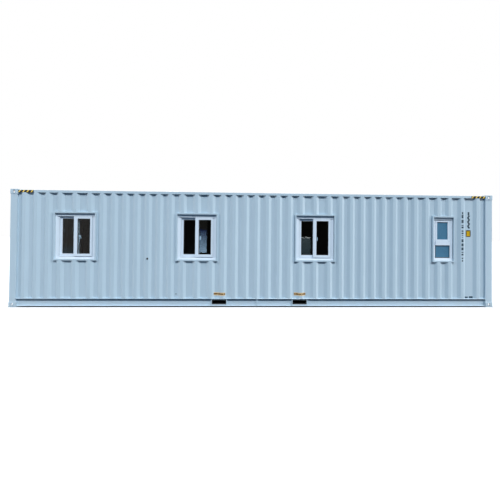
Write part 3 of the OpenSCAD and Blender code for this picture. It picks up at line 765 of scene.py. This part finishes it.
# The plate, which touches the wall at one place, and its four rivets
plateShape = {"thickness": 0.002, "corner": 0.006, "rim": 0.008, "sink": 0.0012,
              "touch": (5.509, 1.9), "rivet": 0.004, "rivetHeight": 0.002,
              "rivetSides": 12, "rivetIn": 0.012}
(x0, z0), (x1, z1) = plateLook["low"], plateLook["high"]
y = wallFace(*plateShape["touch"])
faceY = y - plateShape["thickness"]
plate = addPlate("data_plate", (x0, faceY, z0), (x1, y, z1), plateShape["corner"])
stepFace(plate, front, plateShape["rim"], -plateShape["sink"])
finishPiece(plate, platePaint)
inset = plateShape["rivetIn"]
rivets = [addBolt((x, faceY, z), front, plateShape["rivet"], plateShape["rivetHeight"],
                  plateShape["rivetSides"])
          for x in (x0 + inset, x1 - inset) for z in (z0 + inset, z1 - inset)]
finishPiece(joinPieces(rivets, "plate_rivets"), zincSteel)

# Plugs: place in X and Z, and radius
plugLook = {"wall_plug": (-2.759, 1.2, 0.024), "foot_plug": (-2.051, 0.316, 0.012),
            "height": 0.006, "sink": 0.001, "hollow": 0.003, "rimShare": 0.3,
            "sides": 28, "round": 0.0008}
for name in ("wall_plug", "foot_plug"):
    x, z, radius = plugLook[name]
    y = wallFace(x, z)
    plug = addRod(name, (x, y + plugLook["sink"], z), (x, y - plugLook["height"], z),
                  radius, plugLook["sides"])
    stepFace(plug, front, radius * plugLook["rimShare"], -plugLook["hollow"])
    roundEdges(plug, plugLook["round"])
    finishPiece(plug, blackRubber)
print("marks done")


# Windows: seals round the panes, drawn wide so their black is partly painted shade at the pane
# edges, sealant round the frames, locks on the sliding sashes

# the seal widths are partly painted shade: the narrow window's are widest, standing in for the
# shadow on its recessed panes
gasketAndShadeLook = {"width": 0.011, "narrow": 0.015, "proud": 0.005, "round": 0.0008}
sealantShape = {"width": 0.007, "proud": 0.003, "round": 0.001}
trackLook = {"width": 0.005, "gap": 0.007, "over": 0.004, "back": 0.012, "depth": 0.006,
             "round": 0.0008}
lockLook = {"height": 1.72, "in": 0.004, "left": 0.02, "base": (0.045, 0.014, 0.085),
            "lever": (0.016, 0.016, 0.06), "pivot": 0.6, "leverUp": 0.4, "round": 0.003,
            "arm": 0.011, "armBack": 0.006, "armFront": 0.01, "armSides": 20}


def addGasketsAndShade(name, low, high, width):
    # dark seals on both faces of a pane, wider than real ones so that their black also stands for
    # painted shade
    proud = gasketAndShadeLook["proud"]
    for face, y0, y1 in (("outer", low.y - proud, low.y), ("inner", high.y, high.y + proud)):
        seal = addRing(name + "_" + face, (low.x, y0, low.z), (high.x, y1, high.z), width,
                       gasketAndShadeLook["round"])
        finishPiece(seal, blackRubber)


def addSealant(name, low, high):
    # a thin bead on a frame's outer edge
    bead = addRing(name, (low.x, low.y - sealantShape["proud"], low.z), (high.x, low.y, high.z),
                   sealantShape["width"], sealantShape["round"])
    finishPiece(bead, sealWhite)


def addTrackSeal(name, frameY, low, high):
    # a pale line round both sashes, at the back of the groove they slide in
    gap, over, y = trackLook["gap"], trackLook["over"], frameY + trackLook["back"]
    line = addRing(name, (low.x - gap, y, low.z - over),
                   (high.x + gap, y + trackLook["depth"], high.z + over),
                   trackLook["width"], trackLook["round"])
    finishPiece(line, sealWhite)


def addLock(name, sashHigh):
    # a base on the rear sash with a round pivot and a lever
    wide, deep, tall = lockLook["base"]
    leverWide, leverDeep, leverTall = lockLook["lever"]
    x0, y0 = sashHigh.x - lockLook["in"], sashHigh.y - lockLook["in"]
    z0 = lockLook["height"] - tall / 2
    body = addBlock("body", (x0 - lockLook["left"], y0, z0), (x0 + wide, y0 + deep, z0 + tall))
    roundEdges(body, lockLook["round"])
    x, z = x0 + wide * lockLook["pivot"], z0 + tall / 2
    arm = addRod("arm", (x, y0 - lockLook["armBack"], z), (x, y0 + deep + lockLook["armFront"], z),
                 lockLook["arm"], lockLook["armSides"])
    z = z0 + tall * lockLook["leverUp"]
    lever = addBlock("lever", (x - leverWide / 2, y0 + deep, z),
                     (x + leverWide / 2, y0 + deep + leverDeep, z + leverTall))
    roundEdges(lever, lockLook["round"])
    finishPiece(joinPieces([body, arm, lever], name), whitePvc)


for number in (1, 2, 3):
    stem = "window_%d_" % number
    glassLow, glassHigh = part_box(stem + "glass")
    middleY = (glassLow.y + glassHigh.y) / 2
    rearPane = partOf(stem + "glass", lambda c: c.y > middleY)
    frontPane = partOf(stem + "glass", lambda c: c.y < middleY)
    addGasketsAndShade(stem + "rear_seal", *rearPane, gasketAndShadeLook["width"])
    addGasketsAndShade(stem + "front_seal", *frontPane, gasketAndShadeLook["width"])
    frameLow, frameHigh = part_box(stem + "frame")
    addSealant(stem + "sealant", frameLow, frameHigh)
    rearLow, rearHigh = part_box(stem + "rear_sash")
    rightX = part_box(stem + "front_sash")[1].x
    addTrackSeal(stem + "track_seal", frameLow.y, rearLow, Vector((rightX, rearHigh.y, rearHigh.z)))
    addLock(stem + "lock", rearHigh)

frameLow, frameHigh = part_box("narrow_frame")
middleZ = (frameLow.z + frameHigh.z) / 2
upper = partOf("narrow_glass", lambda c: c.z > middleZ)
lower = partOf("narrow_glass", lambda c: c.z < middleZ)
addGasketsAndShade("narrow_sash_seal", *upper, gasketAndShadeLook["narrow"])
addGasketsAndShade("narrow_pane_seal", *lower, gasketAndShadeLook["narrow"])
addSealant("narrow_sealant", frameLow, frameHigh)
print("windows done")


# Cargo doors: seals, bolts, catches for the handles

doorLow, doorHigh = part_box("right_cargo_door")
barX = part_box("locking_bars")[0].x


def endRing(name, y0, y1, z0, z1, x0, x1, width, bevel):
    # a ring that faces -X: made facing -Y, then turned
    piece = addRing(name, (-y1, x0, z0), (-y0, x1, z1), width, bevel)
    piece.data.transform(Matrix.Rotation(math.radians(-90), 4, "Z"))
    return piece


# How far the seal reaches past the door at its hinges, middle, foot and head, and out and in
sealLook = {"width": 0.014, "hinges": 0.003, "middle": 0.0015, "foot": 0.003, "head": 0.001,
            "out": 0.003, "in": 0.012, "round": 0.0015}
seal = endRing("right_door_seal", doorLow.y - sealLook["hinges"], doorHigh.y + sealLook["middle"],
               doorLow.z - sealLook["foot"], doorHigh.z + sealLook["head"],
               doorLow.x - sealLook["out"], doorLow.x + sealLook["in"],
               sealLook["width"], sealLook["round"])
finishPair(seal, "left_door_seal", blackRubber)

# Two bolts on each bracket of the locking bars
bracketLook = {"across": (-0.86, -0.3, 0.3, 0.86), "heights": (0.42, 1.0, 1.7, 2.48),
               "apart": 0.024, "up": 0.03, "radius": 0.007, "height": 0.006}
bolts = []
for y in bracketLook["across"]:
    for z in bracketLook["heights"]:
        for side in (-1, 1):
            spot = (barX, y + side * bracketLook["apart"], z + bracketLook["up"])
            bolts.append(addBolt(spot, doorEnd, bracketLook["radius"], bracketLook["height"]))
finishPiece(joinPieces(bolts, "bracket_bolts"), zincSteel)

# Two bolts on each hinge blade
hingeLook = {"foot": 0.196, "head": 0.2, "count": 4, "across": (-1.07, -1.03), "out": 0.008,
             "radius": 0.009, "height": 0.007}
lowest, highest = doorLow.z + hingeLook["foot"], doorHigh.z - hingeLook["head"]
bolts = []
for i in range(hingeLook["count"]):
    z = lowest + (highest - lowest) * i / (hingeLook["count"] - 1)
    for y in hingeLook["across"]:
        for side in (-1, 1):
            bolts.append(addBolt((doorLow.x - hingeLook["out"], y * side, z), doorEnd,
                                 hingeLook["radius"], hingeLook["height"]))
finishPiece(joinPieces(bolts, "hinge_bolts"), zincSteel)

# Catches: a plate and a hook, with each one's half width and its reach below and above
catchLook = {"across": (-0.58, 0.58), "heights": (1.15, 1.29), "thickness": 0.004,
             "plate": (0.035, 0.02, 0.055), "plateRound": 0.002,
             "hook": (0.02, 0.01, 0.044), "hookOut": 0.066, "hookWidth": 0.005,
             "hookRound": 0.001}
faceX = doorLow.x - catchLook["thickness"]
catches = []
for z in catchLook["heights"]:
    for y in catchLook["across"]:
        half, below, above = catchLook["plate"]
        plate = addBlock("catch", (faceX, y - half, z - below), (doorLow.x, y + half, z + above))
        roundEdges(plate, catchLook["plateRound"])
        half, below, above = catchLook["hook"]
        hook = endRing("hook", y - half, y + half, z - below, z + above,
                       doorLow.x - catchLook["hookOut"], faceX,
                       catchLook["hookWidth"], catchLook["hookRound"])
        catches += [plate, hook]
finishPiece(joinPieces(catches, "handle_catches"), zincSteel)
print("doors done")


# Camera, level with the windows and a little left of the middle; turn is in degrees
view = {"place": (-0.268, -7.219, 1.886), "turn": (90.476, -0.527, -1.677), "lens": 17.119,
        "sensor": 36, "shift": (-0.009, -0.0397), "reach": 200}
dropSelection()
bpy.ops.object.camera_add(location=view["place"],
                          rotation=[math.radians(a) for a in view["turn"]])
camera = bpy.context.object
camera.name = "camera"
camera.data.sensor_width = view["sensor"]
camera.data.lens = view["lens"]
camera.data.shift_x, camera.data.shift_y = view["shift"]
camera.data.clip_end = view["reach"]
bpy.context.scene.camera = camera

# Studio: a high sun from the front right, low fills from both sides, one from behind
studio = {"keySun": {"power": 3.5, "angle": 1.5, "azimuth": 19.5, "height": 55.5},
          "rightFill": {"power": 1.65, "angle": 25, "azimuth": 70, "height": 36,
                        "color": (1, 0.96, 0.9)},
          "leftFill": {"power": 1.05, "angle": 25, "azimuth": -70, "height": 36,
                       "color": (0.93, 0.98, 1)},
          "backSun": {"power": 1.7, "angle": 15, "azimuth": 200, "height": 20}}
sunDistance = 20


def addSun(name, power, angle, azimuth, height, color=(1, 1, 1)):
    a, e = math.radians(azimuth), math.radians(height)
    source = Vector((math.cos(e) * math.sin(a), -math.cos(e) * math.cos(a), math.sin(e)))
    bpy.ops.object.light_add(type="SUN", location=source * sunDistance,
                             rotation=source.to_track_quat("Z", "Y").to_euler())
    lamp = bpy.context.object
    lamp.name = name
    lamp.data.energy = power
    lamp.data.color = color
    lamp.data.angle = math.radians(angle)


for name, lamp in studio.items():
    addSun(name, **lamp)

# White where the camera looks past everything, dim light on matt surfaces, and in gloss a
# dark front that brightens to the sides in two steps
sky = {"below": (0.06, 0.075, 0.09), "above": (0.085, 0.16, 0.265), "horizon": (-0.05, 0.05),
       "front": 0.03, "step": 0.38, "stepFrom": (0.5, 0.54), "side": 2.3,
       "sideFrom": (0.62, 0.86), "gloss": (1.08, 1.0, 0.94), "seen": (1, 1, 1)}
world = bpy.data.worlds.new("studio")
bpy.context.scene.world = world
world.use_nodes = True
tree = world.node_tree
tree.nodes.clear()
rays = tree.nodes.new("ShaderNodeLightPath")
axes = axesOf(tree, tree.nodes.new("ShaderNodeTexCoord").outputs["Generated"])
dome = mixColor(tree, spread(tree, axes["Z"], *sky["horizon"]), sky["below"], sky["above"])
aside = mathNode(tree, "ABSOLUTE", axes["X"])
sides = mathNode(tree, "MULTIPLY", spread(tree, aside, *sky["sideFrom"]), sky["side"] - sky["step"])
step = mathNode(tree, "MULTIPLY", spread(tree, aside, *sky["stepFrom"]), sky["step"] - sky["front"])
sides = mathNode(tree, "ADD", mathNode(tree, "ADD", sides, step), sky["front"])
light = mixColor(tree, rays.outputs["Is Glossy Ray"], dome, shaded(tree, sky["gloss"], sides))
light = mixColor(tree, rays.outputs["Is Camera Ray"], light, sky["seen"])
background = tree.nodes.new("ShaderNodeBackground")
wire(tree, light, background.inputs["Color"])
output = tree.nodes.new("ShaderNodeOutputWorld")
wire(tree, background.outputs[0], output.inputs["Surface"])

# Pale floor, with a painted contact shadow where it meets the container
groundLook = {"size": 120, "color": (0.86, 0.86, 0.86), "roughness": 0.9,
              "shade": (0.12, 0.12, 0.13), "fade": (0.02, 0.045)}
dropSelection()
bpy.ops.mesh.primitive_plane_add(size=groundLook["size"], location=(0, 0, 0))
ground = named("studio_floor")
paleFloor, tree, shader = startMaterial("paleFloor", groundLook)
axes = axesOf(tree, objectPlace(tree))
gaps = [mathNode(tree, "SUBTRACT", mathNode(tree, "ABSOLUTE", axes[axis]), edge)
        for axis, edge in (("X", cadBox[1].x), ("Y", cadBox[1].y))]
# painted shadow: the floor darkens within a few centimetres of the container's footprint
away = spread(tree, mathNode(tree, "MAXIMUM", *gaps), *groundLook["fade"])
tone = mixColor(tree, away, groundLook["shade"], groundLook["color"])
wire(tree, tone, shader.inputs["Base Color"])
ground.data.materials.append(paleFloor)
for way in ("diffuse", "glossy", "transmission"):
    setattr(ground, "visible_" + way, False)

# Cards behind the camera, seen only in the panes: left, foot, right and top of each, and
# its light at the foot and the top
cards = {"card_bright": {"box": (-5.25, -0.3, -4.5, 2.1),
                         "low": (5.5, 8.8, 12.2), "high": (0.1, 0.2, 1.1)},
         "card_shade": {"box": (-5.25, 2.1, -4.5, 3.4),
                        "low": (0.22, 0.22, 0.2), "high": (0.22, 0.22, 0.2)},
         "card_yard": {"box": (5.4, -0.5, 6.4, 1.3),
                       "low": (0.5, 0.9, 1.15), "high": (0.95, 1.4, 1.6)},
         "card_edge": {"box": (5.4, 1.3, 6.4, 1.42),
                       "low": (6.0, 6.6, 6.8), "high": (6.0, 6.6, 6.8)},
         "card_wall": {"box": (-19.3, -0.5, -17.6, 0.2),
                       "low": (0.45, 0.75, 1.0), "high": (0.4, 0.54, 0.58)}}
cardY = -20
for name, card in cards.items():
    x0, z0, x1, z1 = card["box"]
    sheet = addSheet(name, ((x0 + x1) / 2, cardY, (z0 + z1) / 2), x1 - x0, z1 - z0)
    paint = bpy.data.materials.new(name + "_light")
    paint.use_nodes = True
    tree = paint.node_tree
    tree.nodes.clear()
    height = spread(tree, axesOf(tree, objectPlace(tree))["Z"], z0, z1)
    glow = tree.nodes.new("ShaderNodeEmission")
    wire(tree, mixColor(tree, height, card["low"], card["high"]), glow.inputs["Color"])
    output = tree.nodes.new("ShaderNodeOutputMaterial")
    wire(tree, glow.outputs[0], output.inputs["Surface"])
    sheet.data.materials.append(paint)
    for way in ("camera", "diffuse", "shadow", "transmission", "volume_scatter"):
        setattr(sheet, "visible_" + way, False)
bpy.context.scene.view_settings.view_transform = "Standard"
print("camera, lights and floor set")
